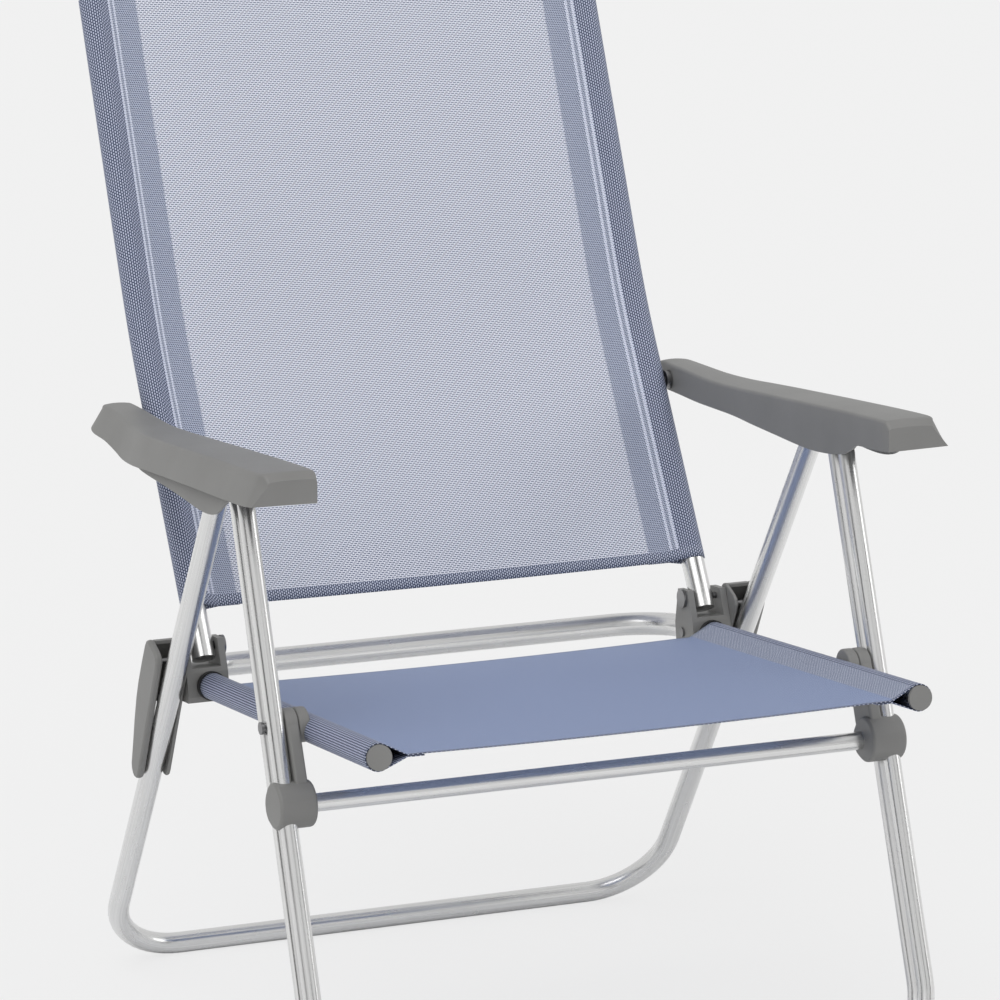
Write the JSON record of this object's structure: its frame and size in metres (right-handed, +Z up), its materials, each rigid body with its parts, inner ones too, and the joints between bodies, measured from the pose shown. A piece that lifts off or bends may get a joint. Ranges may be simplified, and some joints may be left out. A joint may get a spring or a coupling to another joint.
{
  "type": "folding beach chair",
  "caption": "Folding beach chair with an aluminium tube frame, mesh fabric seat and back, moulded armrests and a reclining back.",
  "frame": {"origin": "on the floor under the middle of the open chair's box, at its most upright setting", "axes": "+Z up, -Y towards the front so that the sitter faces -Y, +X to the right of the picture"},
  "size_m": [0.63, 0.7896, 0.9794],
  "materials": {
    "tube_aluminium": "polished",
    "grey_plastic": "satin",
    "black_plastic": "satin",
    "rivet_steel": "domed",
    "seat_mesh": "woven mesh",
    "back_mesh": "woven mesh"
  },
  "bodies": {
    "front_legs": {"front_leg_frame": "tube_aluminium", "leg_knuckle_left": "grey_plastic", "leg_knuckle_right": "grey_plastic", "leg_hinge_pins": "rivet_steel", "stretcher_bar": "tube_aluminium", "leg_bracket_left": "grey_plastic", "leg_bracket_right": "grey_plastic", "seat_pivot_rivets": "rivet_steel"},
    "rear_legs": {"rear_leg_frame": "tube_aluminium", "rear_leg_bushes": "black_plastic", "link_rivets": "rivet_steel"},
    "link_left": {"link_left": "grey_plastic", "link_studs_left": "rivet_steel"},
    "link_right": {"link_right": "grey_plastic", "link_studs_right": "rivet_steel"},
    "seat": {"seat_frame": "tube_aluminium", "seat_end_caps": "grey_plastic", "seat_boss_left": "grey_plastic", "seat_boss_right": "grey_plastic", "hinge_bracket_left": "grey_plastic", "hinge_bracket_right": "grey_plastic", "bracket_collars": "black_plastic", "bracket_rivets": "rivet_steel", "seat_fabric": "seat_mesh"},
    "back_hinge": {"back_pivot_rivets": "rivet_steel"},
    "backrest": {"back_frame": "tube_aluminium", "back_pivot_bushes": "black_plastic", "back_fabric": "back_mesh"},
    "arm_rivet_left": {"armrest_rivet_left": "rivet_steel"},
    "arm_rivet_right": {"armrest_rivet_right": "rivet_steel"},
    "armrest_left": {"armrest_left": "grey_plastic", "armrest_rack_left": "black_plastic"},
    "armrest_right": {"armrest_right": "grey_plastic", "armrest_rack_right": "black_plastic"}
  },
  "joints": [
    {"name": "leg_fold", "type": "hinge", "parent": "front_legs", "child": "rear_legs", "pos_m": [0, -0.11522, 0.556], "axis": [1, 0, 0], "range_deg": [-52.2, 0]},
    {"name": "recline", "type": "hinge", "parent": "back_hinge", "child": "backrest", "pos_m": [0, 0.06135, 0.35206], "axis": [1, 0, 0], "range_deg": [-31.5, 0]},
    {"name": "seat_fold", "type": "hinge", "parent": "front_legs", "child": "seat", "pos_m": [0, -0.23, 0.353], "axis": [1, 0, 0], "range_deg": [-83.49, 0]},
    {"name": "link_left_fold", "type": "hinge", "parent": "rear_legs", "child": "link_left", "pos_m": [0, 0.09922, 0.23445], "axis": [1, 0, 0], "range_deg": [-136.07, 0]},
    {"name": "link_right_fold", "type": "hinge", "parent": "rear_legs", "child": "link_right", "pos_m": [0, 0.09922, 0.23445], "axis": [1, 0, 0], "range_deg": [-136.07, 0]},
    {"name": "back_fold", "type": "hinge", "parent": "seat", "child": "back_hinge", "pos_m": [0, 0.06135, 0.35206], "axis": [1, 0, 0], "range_deg": [0, 89.89]},
    {"name": "arm_left_fold", "type": "hinge", "parent": "backrest", "child": "arm_rivet_left", "pos_m": [0, 0.17742, 0.54], "axis": [1, 0, 0], "range_deg": [-90.97, 0]},
    {"name": "arm_right_fold", "type": "hinge", "parent": "backrest", "child": "arm_rivet_right", "pos_m": [0, 0.17742, 0.54], "axis": [1, 0, 0], "range_deg": [-90.97, 0]},
    {"name": "arm_left_swing", "type": "hinge", "parent": "arm_rivet_left", "child": "armrest_left", "pos_m": [0, 0.17742, 0.54], "axis": [1, 0, 0], "range_deg": [0, 19.08]},
    {"name": "arm_right_swing", "type": "hinge", "parent": "arm_rivet_right", "child": "armrest_right", "pos_m": [0, 0.17742, 0.54], "axis": [1, 0, 0], "range_deg": [0, 19.08]}
  ],
  "couplings": [
    {"joint": "seat_fold", "follows": "leg_fold", "ratio": 1.5984},
    {"joint": "link_left_fold", "follows": "leg_fold", "ratio": 2.6057},
    {"joint": "link_right_fold", "follows": "leg_fold", "ratio": 2.6057},
    {"joint": "back_fold", "follows": "leg_fold", "ratio": -1.721},
    {"joint": "arm_left_fold", "follows": "leg_fold", "ratio": 1.7419},
    {"joint": "arm_right_fold", "follows": "leg_fold", "ratio": 1.7419},
    {"joint": "arm_left_swing", "follows": "recline", "ratio": -0.60414},
    {"joint": "arm_right_swing", "follows": "recline", "ratio": -0.60414}
  ]
}
